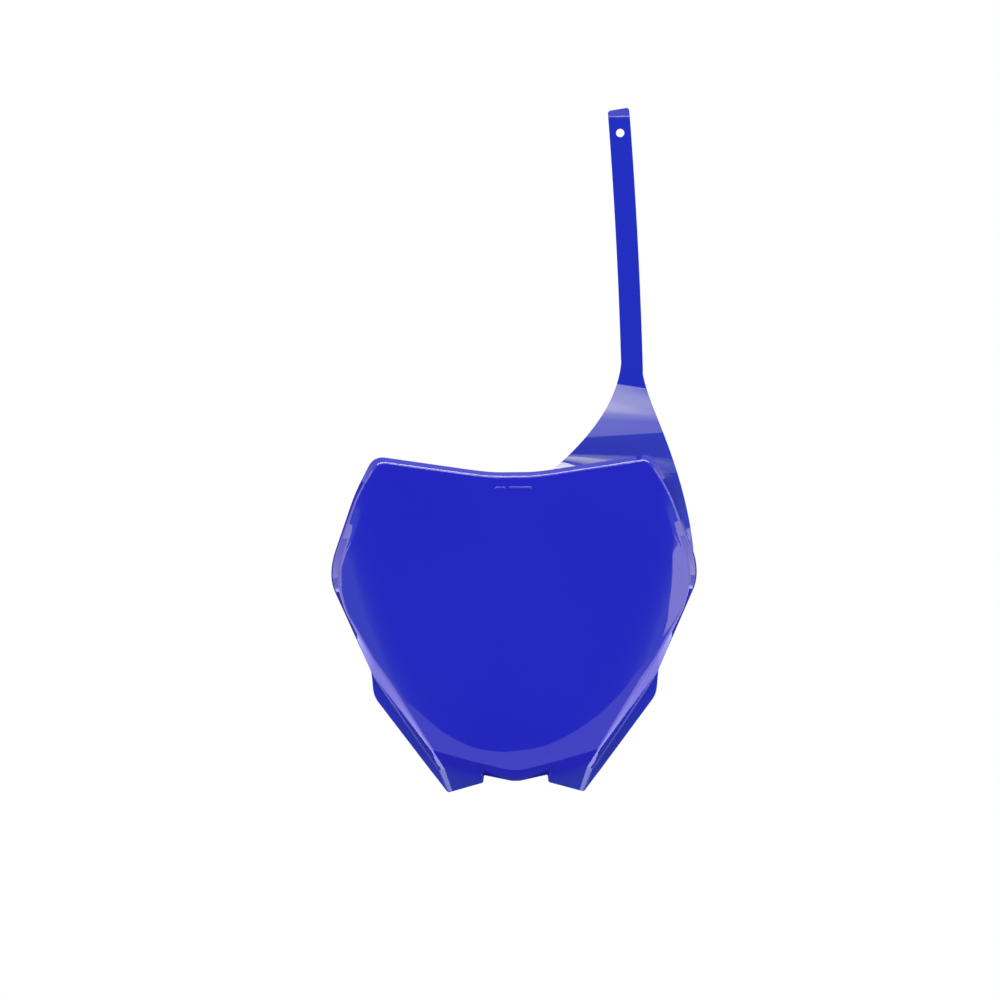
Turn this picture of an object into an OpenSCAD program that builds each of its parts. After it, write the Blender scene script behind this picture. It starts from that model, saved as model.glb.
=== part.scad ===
// Motocross front number board, moulded in one piece with its own handlebar strap.
// Seen from the front: x to the right, z up, y back towards the bike.
// The shell is drawn with the foot tips at z = 0 and the front of the face at y = 0, and is then
// moved so that the origin is the middle of the strap's hole.

/* [Board] */
// Width across the cheeks, the widest line of the board
board_w = 240; // [220:1:270]
// Height of the middle of the top edge above the foot tips
top_z = 212; // [195:1:240]
// Distance between the top corners, before they are rounded
corner_w = 184; // [160:1:200]
// How far the top corners stand above the middle of the top edge
corner_rise = 11.5; // [4:0.5:20]
// Height of the cheeks, where the two side lines meet
cheek_z = 145; // [135:1:155]
// Wall thickness of the shell
wall = 2.2; // [1.8:0.1:2.6]
// How far the cheeks curl back
cheek_curl = 7; // [3:0.5:9]
// How far the chin curls back
chin_curl = 14; // [8:0.5:18]

/* [Lip round the upper edge] */
// Depth of the lip behind the face
lip_deep = 5.5; // [4:0.5:8]
// How far the lip splays outwards over the top
lip_splay_top = 3.3; // [2:0.1:4.5]
// How far the lip splays outwards at the sides
lip_splay_side = 2.2; // [1.5:0.1:3]

/* [Cheeks and legs] */
// How far inside the board's widest line the side walls start
cheek_band = 8; // [5:0.5:11]
// Distance between the tops of the leg flanges
leg_w = 190; // [180:1:198]
// Height of the tops of the leg flanges
leg_z = 81.5; // [76:0.5:90]
// Height of the lower corner of each leg flange, before it is rounded
leg_corner_z = 64.5; // [60:0.5:68]
// How far the side walls reach back at the cheeks
side_deep_top = 5; // [3:0.5:8]
// How far the side walls reach back at the legs
side_deep_leg = 5.5; // [4:0.5:8]
// How far the side walls reach back at the feet
side_deep_foot = 7.5; // [5:0.5:11]

/* [Chin and feet] */
// Height of the lowest point of the board between the feet
chin_z = 7.6; // [5:0.1:10]
// Height of the rim under the chin
chin_rim = 6.2; // [5:0.1:8]
// Depth of the rim under the chin
chin_rim_deep = 8; // [6:0.5:10]
// Distance between the foot tips
tip_w = 90; // [84:1:96]
// Distance between the inner corners of the feet
foot_gap = 43; // [38:1:50]
// Height of the inner corners of the feet
foot_rise = 6.8; // [5:0.1:8.5]

/* [Strap] */
// Width of the strap at its end
strap_w = 14.4; // [12:0.1:16]
// Thickness of the strap and its root
strap_t = 1.8; // [1.5:0.1:2.2]
// Height of the strap's fold, above which its end tab slants back
strap_z = 447; // [400:1:480]
// Height of the end tab as seen from the front
tab_h = 5; // [4:0.5:7]
// How far the strap lies behind the face
strap_y = 44; // [38:1:50]
// Distance of the strap's end from the board's centre line
strap_x = 72.2; // [60:0.1:80]
// How far the strap leans outwards from its end down to its root
strap_lean = 7.2; // [0:0.2:12]
// How far the strap bows outwards between its end and its root
strap_bow = 1; // [0:0.1:3]
// Diameter of the hole near the strap's end
hole_d = 5.5; // [4:0.1:7]
// Distance of the hole below the fold of the end tab
hole_below = 11; // [8:0.5:16]
// Diameter of the stud that the strap's hole buttons on
stud_d = 5; // [4:0.1:6]
// Free length of the stud below its head
stud_neck = 4; // [3:0.5:6]
// Diameter of the stud's head
stud_head_d = 8; // [6.5:0.1:9]

/* [Hidden] */

moulding_blue = [0.14, 0.15, 0.76];
eps = 0.01;

half_w = board_w / 2;
half_tip = tip_w / 2;
half_gap = foot_gap / 2;
half_leg = leg_w / 2;
half_corner = corner_w / 2;

// The face is flat in the middle and curls back at the cheeks and towards the chin.
cheek_power = 6;
chin_power = 3;
chin_start = 120;
chin_arch = 0.0075;
face_mid_z = 130;

// How far the face lies back at a place on the board.
function face_y(x, z) =
    cheek_curl * pow(abs(x) / half_w, cheek_power)
    + chin_curl * pow(max(0, chin_start - z + chin_arch * x * x) / chin_start, chin_power);

// The two side lines meet outside the cheek, which is eased to the board's width.
cheek_ease = 18;
cheek_out = 3.6;
top_corner = [half_corner, top_z + corner_rise];
cheek_corner = [half_w + cheek_out, cheek_z];
// The side line between a top corner and a cheek bulges outwards by this much.
side_bulge = 2.6;
shoulder = mix(top_corner, cheek_corner, 0.32) + side_bulge * [0.93, 0.37];
// The top edge and the chin's edge are bowed in the middle and straight beside it.
top_bow = 16;
chin_bow = 2.5;
// The face's own edge lies this far inside the lip along the top.
face_margin = 9;
// The side wall starts here, level with the board's outline, and widens towards the leg.
side_top = [half_w - cheek_band + 0.5, cheek_z - 24];
// The ridge beside each leg, from its top down to the crease over the foot
ridge_top = [half_leg - 3, leg_z + 5.5];
ridge_mid = [half_leg - 12.5, leg_corner_z + 9.5];
ridge_foot = [half_tip + 9.5, chin_z + 20.4];
// The root of each leg flange, where the side wall meets it
root_top = [half_leg - 0.5, leg_z - 2];
root_mid = [half_leg - 7, leg_corner_z + 4.5];
// The flange's outer edge runs straight to the foot tip and stops at this share of its length.
flange_stop = 0.22;
flange_w = 4.2;
leg_corner = [half_leg - 1.6, leg_corner_z];
flange_end = [half_tip + flange_stop * (leg_corner[0] - half_tip), flange_stop * leg_corner_z];
root_end = flange_end + [-flange_w, 2];
// The foot is a front plate that hangs from the rim under the chin.
plate_top = [half_tip + 2, chin_z + 8.9];
plate_inner = [half_gap + 1, chin_z + 4.6];
plate_deep = 3.5;
plate_inner_deep = 4.5;
sole_deep = 5.3;
sole_front = [half_tip - 3.2, 1];
crease_z = chin_z + chin_rim;

// Places in a corner's list of values
DROP = 1;
IN = 3;
BACK = 4;
ROUND = 5;
SETBACK = 6;

// One corner of an edge line: place across and up, drop behind the face, and how the inner skin
// lies beside it, in walls inwards and walls back, then the rounding and the setback of the corner.
function corner(place, drop, in, back, round, setback) =
    [place[0], drop, place[1], in, back, round, setback];

function mix(p, q, f) = p + (q - p) * f;
function step_to(p, q, d) =
    mix(p, q, min(0.49, d / max(norm([q[0] - p[0], q[2] - p[2]]), eps)));

// Points along a smooth bend from p to q that leaves p and reaches q in the directions of c.
function bend(p, c, q, n) =
    [for (i = [0 : n - 1]) let (t = i / n) mix(mix(p, c, t), mix(c, q, t), t)];
function straight(p, q, n) = [for (i = [0 : n - 1]) mix(p, q, i / n)];
function joined(lists) = [for (part = lists) for (p = part) p];

// Steps along each straight and round each corner, from the top's middle to the chin's
straight_steps = [1, 4, 2, 4, 2, 3, 2, 7, 1, 1, 3, 1, 2, 1];
bend_steps = [0, 4, 5, 3, 8, 3, 2, 4, 1, 2, 2, 2, 1, 3];

// An edge line through its corners, each one eased by its setback.
function edge_line(c) =
    let (last = len(c) - 1)
    let (ends = [for (i = [0 : last]) i == 0 ? c[0] : i == last ? c[last]
        : step_to(c[i], c[i - 1], c[i][SETBACK])])
    let (starts = [for (i = [0 : last]) i == 0 ? c[0] : i == last ? c[last]
        : step_to(c[i], c[i + 1], c[i][SETBACK])])
    concat(joined([for (i = [0 : last - 1]) concat(
        i == 0 ? [] : bend(ends[i], c[i], starts[i], bend_steps[i]),
        straight(starts[i], ends[i + 1], straight_steps[i]))]), [c[last]]);

// The line where the face ends, out of sight along the top and a ridge from the cheeks down
ridge_line = edge_line([
    corner([0, top_z - face_margin - lip_splay_top], 0, 0, 1, 3, 0),
    corner([top_bow, top_z - face_margin - lip_splay_top], 0, 0, 1, 3, top_bow),
    corner(top_corner - face_margin * [1, 1.8], 0, 0, 1, 3, 8),
    corner(shoulder - [face_margin, 3], 0, 0, 1, 3, 10),
    corner([half_w - 2, cheek_z + 2], 0, 0.4, 1, 1.5, cheek_ease),
    corner(side_top - [0.5, 0], 0, 0.5, 1, 1.5, 6),
    corner(ridge_top, 0, 0.5, 1, 3, 6),
    corner(ridge_mid, 0, 0.5, 1, 3.2, 3),
    corner(ridge_foot + [0.8, 1.2], 0, 0.5, 1, 2.6, 0.2),
    corner(ridge_foot + [0.4, 0.6], 0, 0.5, 1, 1.8, 0.2),
    corner(ridge_foot, 0, 0.5, 1, 1.2, 0.2),
    corner([half_gap + 5, crease_z + 6], 0, 0.5, 1, 1.5, 2),
    corner([half_gap + 2.5, crease_z + 5.3], 0, 0.5, 1, 1.5, 0.5),
    corner([chin_bow + 2, crease_z], 0, 0.5, 1, 2, chin_bow),
    corner([0, crease_z], 0, 0.5, 1, 2, 0)]);

// The front edge of the lip, the root of the leg flange, then the top of the foot and the chin's rim
rim_line = edge_line([
    corner([0, top_z - lip_splay_top], 0, 0.6, 1, 1.6, 0),
    corner([top_bow, top_z - lip_splay_top], 0, 0.6, 1, 1.6, top_bow),
    corner(top_corner - 1.3 * [lip_splay_side, lip_splay_top], 0, 0.6, 1, 1.6, 7),
    corner(shoulder - [lip_splay_side, 0.5], 0, 0.6, 1, 1.6, 10),
    corner(cheek_corner + [-0.5, 0.5], side_deep_top, 0.9, 0.5, 1.5, cheek_ease),
    corner(side_top, mix(side_deep_top, side_deep_leg, 0.33), 0.8, 0.8, 1.2, 6),
    corner(root_top, side_deep_leg - 0.7, 0.8, 0.9, 1, 2),
    corner(root_mid, side_deep_leg, 0.7, 1, 1, 4),
    corner(root_end, side_deep_foot, 0.7, 1, 1, 0.2),
    corner(root_end + [-0.5, -0.5], side_deep_foot, 0.7, 1, 1, 0.2),
    corner(plate_top, plate_deep, 0.5, 1, 0.8, 0.2),
    corner(plate_inner, plate_inner_deep, 0.5, 1, 0.8, 0.8),
    corner(plate_inner + [-2, -0.2], chin_rim_deep, 0.7, 0.8, 0.8, 0.5),
    corner([chin_bow, chin_z + 0.6], chin_rim_deep, 0.8, 0.7, 0.8, chin_bow),
    corner([0, chin_z + 0.6], chin_rim_deep, 0.8, 0.7, 0.8, 0)]);

// The outermost line: the lip's rear edge, the flange's edge and the sole of each foot
outer_line = edge_line([
    corner([0, top_z], lip_deep, 1, 0, 0, 0),
    corner([top_bow, top_z], lip_deep, 1, 0, 0, top_bow),
    corner(top_corner, lip_deep, 1, 0, 0, 8),
    corner(shoulder, lip_deep + 1, 1, 0, 0, 10),
    corner(cheek_corner, side_deep_top + 3, 1, 0, 0, cheek_ease),
    corner(side_top + [0.6, 0.4], mix(side_deep_top + 3, side_deep_leg, 0.37), 0.8, 0.4, 0, 6),
    corner([half_leg + 0.2, leg_z], side_deep_leg - 0.3, 0.7, 0.6, 0, 1),
    corner(leg_corner, side_deep_leg - 4.3, 0, 1, 0, 5),
    corner(flange_end, side_deep_foot - 1.9, 0, 1, 0, 0.3),
    corner([half_tip, 0], side_deep_foot - 1.5, 0.8, 0.6, 0, 1.5),
    corner(sole_front, sole_deep, 0.3, 1, 0, 0.4),
    corner([half_gap, foot_rise], plate_inner_deep + 1.6, 0, 1, 0, 1.2),
    corner([half_gap - 0.7, chin_z + 4.1], plate_inner_deep, 0.5, 0.8, 0, 0.5),
    corner([chin_bow, chin_z], chin_rim_deep + 1, 0.8, 0.6, 0, chin_bow),
    corner([0, chin_z], chin_rim_deep + 1, 0.8, 0.6, 0, 0)]);

stations = len(outer_line);

// A line's direction inwards at station i, across the line in the plane of the board
function inward(line, i) =
    let (p = line[max(0, i - 1)], q = line[min(stations - 1, i + 1)])
    let (run = i == 0 ? [1, 0] : i == stations - 1 ? [-1, 0] : [q[0] - p[0], q[2] - p[2]])
    [run[1], -run[0]] / norm(run);

// Where a line's station lies on the skin that is t behind the front one
function skin_point(line, i, t) =
    let (p = line[i], way = inward(line, i))
    let (x = p[0] + way[0] * p[IN] * t, z = p[2] + way[1] * p[IN] * t)
    [x, face_y(x, z) + p[DROP] + p[BACK] * t, z];

function on_face(x, z, t) = [x, face_y(x, z) + t, z];

// Three points that round the fold at b between a and c
function fold(a, b, c, r) =
    let (p = mix(b, a, min(0.45, r / norm(a - b))), q = mix(b, c, min(0.45, r / norm(c - b))))
    [p, (p + 2 * b + q) / 4, q];

// Rings on the face, as shares of the way from its middle out to the ridge line
face_rings = [0.3, 0.55, 0.75, 0.9];

// The points of one skin at station i, from the middle of the face out to the edge
function spoke(i, t) =
    let (a = skin_point(ridge_line, i, t))
    let (b = skin_point(rim_line, i, t))
    let (c = skin_point(outer_line, i, t))
    let (face = [for (f = face_rings) on_face(a[0] * f, mix(face_mid_z, a[2], f), t)])
    concat(face,
        fold(face[len(face) - 1], a, b, ridge_line[i][ROUND]),
        fold(a, b, c, rim_line[i][ROUND]), [c]);

function mirrored(points) = [for (p = points) [-p[0], p[1], p[2]]];

// All the spokes of a skin, once round the board
function skin(t) = concat(
    [for (i = [0 : stations - 1]) spoke(i, t)],
    [for (i = [stations - 2 : -1 : 1]) mirrored(spoke(i, t))]);

// Two triangles for the cell between four points
function cell(a, b, c, d) = [[a, b, c], [a, c, d]];

module board_shell() {
    front = skin(0);
    back = skin(wall);
    around = len(front);
    rings = len(front[0]);
    s = around * rings;
    hub = 2 * s;
    last = rings - 1;
    points = concat(joined(front), joined(back),
        [on_face(0, face_mid_z, 0), on_face(0, face_mid_z, wall)]);
    faces = joined([for (i = [0 : around - 1])
        let (a = i * rings, b = ((i + 1) % around) * rings)
        concat(
            [[hub, a, b], [hub + 1, s + b, s + a]],
            joined([for (j = [0 : last - 1]) concat(
                cell(a + j, a + j + 1, b + j + 1, b + j),
                cell(s + a + j, s + b + j, s + b + j + 1, s + a + j + 1))]),
            cell(a + last, s + a + last, s + b + last, b + last))]);
    polyhedron(points = points, faces = faces, convexity = 8);
}

// Two bars in low relief on the face under the middle of the top edge
mark_spans = [[-12.2, -4.8], [-2.8, 12.2]];
mark_below = 11.6;
mark_proud = 0.4;
mark_h = 1.8;

module relief_marks() {
    for (span = mark_spans)
        translate([span[0], -mark_proud, top_z - mark_below])
            cube([span[1] - span[0], mark_proud + wall / 2, mark_h]);
}

// The strap's root narrows from the back of the face up to a neck.
neck_z = top_z + 68;
neck_slant = 3.8;
neck_mid = strap_x + strap_lean;
neck_left = [neck_mid - strap_w / 2, neck_z + neck_slant];
neck_right = [neck_mid + strap_w / 2, neck_z - neck_slant];
foot_left = [10.5, top_z - 11];
foot_right = [half_w - 1.2, cheek_z + 10.5];

// The root's left edge is a smooth curve that points at this place at both its ends.
root_bend = [neck_left[0] - 4, top_z + 31];

// How far across the root's left edge lies at height z
function root_left_x(z) =
    let (p = neck_left, c = root_bend, q = foot_left)
    let (k2 = p[1] - 2 * c[1] + q[1])
    let (k1 = 2 * (c[1] - p[1]))
    let (t = (-k1 - sqrt(max(0, k1 * k1 - 4 * k2 * (p[1] - z)))) / (2 * k2))
    mix(mix(p, c, t), mix(c, q, t), t)[0];

// The root's right edge leaves the cheek upright and leans over into a straight slant.
function root_right_x(z) =
    let (rise = max(0, z - foot_right[1]) / (neck_right[1] - foot_right[1]))
    mix(foot_right[0], neck_right[0], pow(rise, 1.5) + 0.9 * pow(rise, 5) * (1 - rise));

// How far back the root's foot lies, inside the wall of the face and of the right cheek
foot_band = 4;
function root_foot_y(x, z) = face_y(x, z) + wall / 2
    + (side_deep_top + 1) * pow(max(0, x - half_w + foot_band) / foot_band, 1.4);

// The end tab slants back at the fold, and its own end is cut at a slight slant and rounded.
tab_top = strap_z + tab_h;
tab_back = tab_h;
tab_slant = 0.8;
tab_round = 2.6;
// The root is straight down to its crease, slopes forward over a hollow belly to a bend, drops
// from there to a shelf and runs forward to its foot.
crease_left_z = top_z + 58;
crease_right_z = top_z + 54.6;
belly_y = [34, 36.2];
slope_y = [27.6, 31.2];
shelf_y = [25.7, 29.3];

// Rows across the strap, from its tip down: height at the left edge and at the right edge, depth
// behind the face at both, and how much of that depth has given way to the depth of its foot
function row_at(left_z, right_z, depths, share) =
    [left_z, right_z, depths[0], depths[1], share];
tab_y = strap_y + tab_back;
row_corners = [
    row_at(tab_top - tab_slant, tab_top + tab_slant, [tab_y, tab_y], 0),
    row_at(tab_top - tab_round, tab_top - tab_round, [tab_y, tab_y] - [tab_round, tab_round], 0),
    row_at(strap_z, strap_z, [strap_y, strap_y], 0),
    row_at(neck_left[1], neck_right[1], [strap_y, strap_y], 0),
    row_at(crease_left_z, crease_right_z, [strap_y, strap_y], 0),
    row_at(top_z + 40, top_z + 40.6, belly_y, 0),
    row_at(top_z + 21.5, top_z + 24.5, slope_y, 0),
    row_at(top_z + 8, top_z + 6, shelf_y, 0),
    row_at(foot_left[1], foot_right[1], shelf_y, 1)];
// Share of the way to the row before and to the row after at which each row's easing ends
row_easing = [[0, 0], [0, 0], [0.25, 0.01], [0, 0], [0.1, 0.06], [0.85, 0.85], [0.05, 0.15],
    [0.4, 0.25], [0, 0]];
row_steps = [4, 1, 2, 2, 1, 1, 1, 6];
row_bend_steps = [0, 1, 4, 0, 3, 7, 3, 5];

function sheet_rows() =
    let (last = len(row_corners) - 1)
    let (ends = [for (i = [0 : last]) i == 0 ? row_corners[0]
        : mix(row_corners[i], row_corners[i - 1], row_easing[i][0])])
    let (starts = [for (i = [0 : last]) i == last ? row_corners[last]
        : mix(row_corners[i], row_corners[i + 1], row_easing[i][1])])
    concat(joined([for (i = [0 : last - 1]) concat(
        i == 0 ? [] : bend(ends[i], row_corners[i], starts[i], row_bend_steps[i]),
        straight(starts[i], ends[i + 1], row_steps[i]))]), [row_corners[last]]);

// How far across the strap's middle lies above the neck, and its left and right edges anywhere
function strap_mid_x(z) =
    let (s = (strap_z - z) / (strap_z - neck_z))
    strap_x + strap_lean * s + strap_bow * 4 * s * (1 - s);
function tab_inset(z, top) =
    let (into = max(0, z - top + tab_round))
    tab_round - sqrt(max(0, tab_round * tab_round - into * into));
function left_x(z) = z > neck_left[1]
    ? strap_mid_x(z) - strap_w / 2 + tab_inset(z, tab_top - tab_slant) : root_left_x(z);
function right_x(z) = z > neck_right[1]
    ? strap_mid_x(z) + strap_w / 2 - 0.5 * tab_inset(z, tab_top + tab_slant) : root_right_x(z);

strap_across = 12;

function sheet_point(row, u, t) =
    let (z = mix(row[0], row[1], u), x = mix(left_x(row[0]), right_x(row[1]), u))
    [x, mix(mix(row[2], row[3], u), root_foot_y(x, z), row[4]) + t, z];

function sheet_skin(t) =
    [for (row = sheet_rows()) [for (j = [0 : strap_across]) sheet_point(row, j / strap_across, t)]];

module strap_sheet() {
    front = sheet_skin(0);
    back = sheet_skin(strap_t);
    rows = len(front);
    w = strap_across + 1;
    s = rows * w;
    points = concat(joined(front), joined(back));
    sides = joined([for (i = [0 : rows - 2]) let (a = i * w, b = a + w) concat(
        cell(a, b, s + b, s + a),
        cell(b + w - 1, a + w - 1, s + a + w - 1, s + b + w - 1))]);
    skins = joined([for (i = [0 : rows - 2]) for (j = [0 : w - 2]) let (a = i * w + j, b = a + w)
        concat(cell(a, a + 1, b + 1, b), cell(s + a, s + b, s + b + 1, s + a + 1))]);
    ends = joined([for (j = [0 : w - 2]) let (b = s - w + j) concat(
        cell(j + 1, j, s + j, s + j + 1),
        cell(b, b + 1, s + b + 1, s + b))]);
    polyhedron(points = points, faces = concat(skins, sides, ends), convexity = 6);
}

hole_z = strap_z - hole_below;
hole_x = strap_mid_x(hole_z);

module strap_hole() {
    translate([hole_x, strap_y - 1, hole_z])
        rotate([-90, 0, 0])
            cylinder(d = hole_d, h = strap_t + 2, $fn = 48);
}

// The stud stands behind the root, straight below the strap, where the sheet is nearly upright.
stud_row = mix(row_corners[6], row_corners[7], 0.35);
stud_z = mix(stud_row[0], stud_row[1], 0.5);
stud_x = mix(left_x(stud_row[0]), right_x(stud_row[1]), 0.5);
stud_head_t = 2.4;

module strap_stud() {
    neck_end = strap_t + stud_neck;
    translate([stud_x, mix(stud_row[2], stud_row[3], 0.5), stud_z])
        rotate([-90, 0, 0]) {
            translate([0, 0, strap_t / 2])
                cylinder(d = stud_d, h = neck_end, $fn = 48);
            translate([0, 0, neck_end])
                cylinder(d1 = stud_head_d, d2 = stud_d, h = stud_head_t, $fn = 48);
        }
}

module strap() {
    difference() {
        strap_sheet();
        strap_hole();
    }
    strap_stud();
}

module number_board() {
    color(moulding_blue)
        translate(-[hole_x, strap_y + strap_t / 2, hole_z]) {
            board_shell();
            relief_marks();
            strap();
        }
}

number_board();
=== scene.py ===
"""Looks of a motocross front number board moulded in one piece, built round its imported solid.

Sizes are in millimetres, in the drawing's own place: foot tips at z = 0, front of the face at
y = 0, middle of the board at x = 0. Meshes are moved into the shared frame, which is in metres
and has its origin in the middle of the strap's hole.
"""

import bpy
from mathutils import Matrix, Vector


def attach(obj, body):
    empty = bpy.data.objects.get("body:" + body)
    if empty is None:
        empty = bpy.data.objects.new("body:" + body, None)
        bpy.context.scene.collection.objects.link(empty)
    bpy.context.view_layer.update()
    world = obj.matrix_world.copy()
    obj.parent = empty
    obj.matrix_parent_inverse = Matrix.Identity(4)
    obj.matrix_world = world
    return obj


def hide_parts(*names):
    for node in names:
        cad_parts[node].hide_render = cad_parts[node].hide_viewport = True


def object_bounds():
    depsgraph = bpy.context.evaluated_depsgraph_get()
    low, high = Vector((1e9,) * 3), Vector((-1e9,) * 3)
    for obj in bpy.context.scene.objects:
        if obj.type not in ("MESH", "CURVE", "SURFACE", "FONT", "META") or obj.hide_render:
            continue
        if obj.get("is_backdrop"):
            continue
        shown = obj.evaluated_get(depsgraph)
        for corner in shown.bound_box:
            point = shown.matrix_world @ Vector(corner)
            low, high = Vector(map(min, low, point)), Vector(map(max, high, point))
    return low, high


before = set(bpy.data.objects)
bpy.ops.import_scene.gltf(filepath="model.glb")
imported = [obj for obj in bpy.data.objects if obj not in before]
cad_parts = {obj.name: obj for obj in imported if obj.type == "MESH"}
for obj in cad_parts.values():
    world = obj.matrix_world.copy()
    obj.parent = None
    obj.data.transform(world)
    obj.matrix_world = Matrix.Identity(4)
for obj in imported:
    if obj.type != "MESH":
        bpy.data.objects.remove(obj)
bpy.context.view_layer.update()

import logging
import math
from collections.abc import Callable, Sequence
from dataclasses import dataclass, field
from enum import Enum
from typing import TypeVar

import bmesh
import bpy
import numpy as np
from mathutils import Matrix, Vector

log = logging.getLogger("number_board")

Pair = tuple[float, float]
Triple = tuple[float, float, float]
Value = TypeVar("Value", float, np.ndarray)

BODY = "root"
NODE = "number_board"
MM = 0.001
TINY = 1e-6
# Largest share of a run between two corners that a rounding or an easing may take
ROUNDING_MOST = 0.45
EASING_MOST = 0.49
SHORTEST_RUN = 0.01
BEVEL_STEPS = 3
SHARP_DEGREES = 35.0
NORMAL_WEIGHT = 50


# Lines and skins


@dataclass(frozen=True)
class Corner:
    """One corner of an edge line, in millimetres.

    drop is how far the line lies behind the face there. inwards and backwards say where the
    inner skin lies beside it, in walls. fold is the rounding across the line, and setback is
    how far from the corner its easing along the line starts.
    """

    x: float
    z: float
    drop: float
    inwards: float
    backwards: float
    fold: float = 0.0
    setback: float = 0.0

    def row(self) -> np.ndarray:
        """Returns the corner as a row of numbers, with z third."""
        return np.array(
            [self.x, self.drop, self.z, self.inwards, self.backwards, self.fold, self.setback]
        )


X, DROP, Z, INWARDS, BACKWARDS, FOLD, SETBACK = range(7)


def mix(p: Value, q: Value, share: float) -> Value:
    """Returns what lies at that share of the way from p to q."""
    return p + (q - p) * share


def bend(p: np.ndarray, c: np.ndarray, q: np.ndarray, steps: int) -> list[np.ndarray]:
    """Makes a smooth bend from p to q that leaves and arrives in the directions of c.

    Args:
        p: Where the bend starts.
        c: The corner that the bend eases.
        q: Where the bend ends.
        steps: Number of points, with p and without q.

    Returns:
        The points of the bend.
    """
    shares = [k / steps for k in range(steps)]
    return [mix(mix(p, c, t), mix(c, q, t), t) for t in shares]


def straight(p: np.ndarray, q: np.ndarray, steps: int) -> list[np.ndarray]:
    """Returns points along the straight from p to q, with p and without q."""
    return [mix(p, q, k / steps) for k in range(steps)]


def rounded(a: np.ndarray, b: np.ndarray, c: np.ndarray, radius: float, steps: int) -> list[np.ndarray]:
    """Rounds the fold at b between a and c.

    Args:
        a: Neighbour of the fold on one side.
        b: The fold itself.
        c: Neighbour on the other side.
        radius: How far from b the rounding starts.
        steps: Number of steps round the fold.

    Returns:
        The points of the rounding, with both its ends.
    """
    p = mix(b, a, min(ROUNDING_MOST, radius / max(np.linalg.norm(a - b), TINY)))
    q = mix(b, c, min(ROUNDING_MOST, radius / max(np.linalg.norm(c - b), TINY)))
    return [*bend(p, b, q, steps), q]


def eased_path(
    rows: Sequence[np.ndarray],
    toward: Callable[[int, int], np.ndarray],
    straights: Sequence[int],
    bends: Sequence[int],
) -> list[np.ndarray]:
    """Goes from the first row to the last, with a bend at each row that has steps for one.

    Args:
        rows: The corners of the path.
        toward: Gives where the easing of row i ends on the way to row i + 1 or i - 1.
        straights: Steps along the straight after each row.
        bends: Steps round each row, none for a sharp one.

    Returns:
        The points of the path.
    """
    points: list[np.ndarray] = []
    for i, steps in enumerate(straights):
        if bends[i]:
            points += bend(toward(i, -1), rows[i], toward(i, 1), bends[i])
        points += straight(toward(i, 1), toward(i + 1, -1), steps)
    return [*points, rows[-1]]


def edge_line(corners: Sequence[Corner], straights: Sequence[int], bends: Sequence[int]) -> np.ndarray:
    """Draws a line through its corners, each one eased by its setback.

    Args:
        corners: The corners, from the top's middle to the chin's.
        straights: Steps along the straight after each corner.
        bends: Steps round each corner.

    Returns:
        One row for each station of the line.
    """
    rows = [corner.row() for corner in corners]

    def toward(i: int, step: int) -> np.ndarray:
        """Finds where the easing of a corner ends on the way to its neighbour.

        Args:
            i: Number of the corner.
            step: 1 for the neighbour after it and -1 for the one before it.

        Returns:
            The place, which at the line's two ends is the corner itself.
        """
        p = rows[i]
        if i in (0, len(rows) - 1):
            return p
        q = rows[i + step]
        run = max(math.hypot(q[X] - p[X], q[Z] - p[Z]), SHORTEST_RUN)
        return mix(p, q, min(EASING_MOST, p[SETBACK] / run))

    return np.array(eased_path(rows, toward, straights, bends))


# Meshes


@dataclass
class MeshMaker:
    """Collects the points and faces of one mesh, in millimetres."""

    origin: Triple
    points: list[np.ndarray] = field(default_factory=list)
    faces: list[tuple[int, ...]] = field(default_factory=list)

    def row(self, points: Sequence[np.ndarray]) -> list[int]:
        """Adds points to the mesh.

        Args:
            points: The points.

        Returns:
            Their numbers.
        """
        first = len(self.points)
        self.points += list(points)
        return list(range(first, len(self.points)))

    def band(self, a: Sequence[int], b: Sequence[int], closed: bool = False) -> None:
        """Joins two rows of the same length with four-sided faces.

        Args:
            a: Numbers of the first row's points.
            b: Numbers of the second row's points.
            closed: Whether the rows close into rings.
        """
        for k in range(len(a) if closed else len(a) - 1):
            n = (k + 1) % len(a)
            self.faces.append((a[k], a[n], b[n], b[k]))

    def fan(self, hub: int, ring: Sequence[int]) -> None:
        """Joins a closed ring to one point in its middle."""
        for k, here in enumerate(ring):
            self.faces.append((hub, here, ring[(k + 1) % len(ring)]))

    def make(self, name: str) -> bpy.types.Object:
        """Turns what was collected into an object in the shared frame.

        Args:
            name: Name of the piece.

        Returns:
            The new object, with smooth faces that point outwards.
        """
        offset = np.array(self.origin)
        mesh = bpy.data.meshes.new(name)
        mesh.from_pydata([tuple((p[:3] - offset) * MM) for p in self.points], [], self.faces)
        work = bmesh.new()
        work.from_mesh(mesh)
        bmesh.ops.recalc_face_normals(work, faces=work.faces)
        for face in work.faces:
            face.smooth = True
        work.to_mesh(mesh)
        work.free()
        return put(name, mesh)


def put(name: str, data: bpy.types.ID) -> bpy.types.Object:
    """Adds an object to the scene.

    Args:
        name: Name of the object.
        data: Its mesh, light or camera.

    Returns:
        The new object.
    """
    made = bpy.data.objects.new(name, data)
    bpy.context.scene.collection.objects.link(made)
    return made


def keep_modifiers(piece: bpy.types.Object) -> None:
    """Applies a piece's modifiers to its own mesh.

    Args:
        piece: The piece.
    """
    bpy.context.view_layer.update()
    done = bpy.data.meshes.new_from_object(piece.evaluated_get(bpy.context.evaluated_depsgraph_get()))
    piece.modifiers.clear()
    piece.data = done


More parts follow.
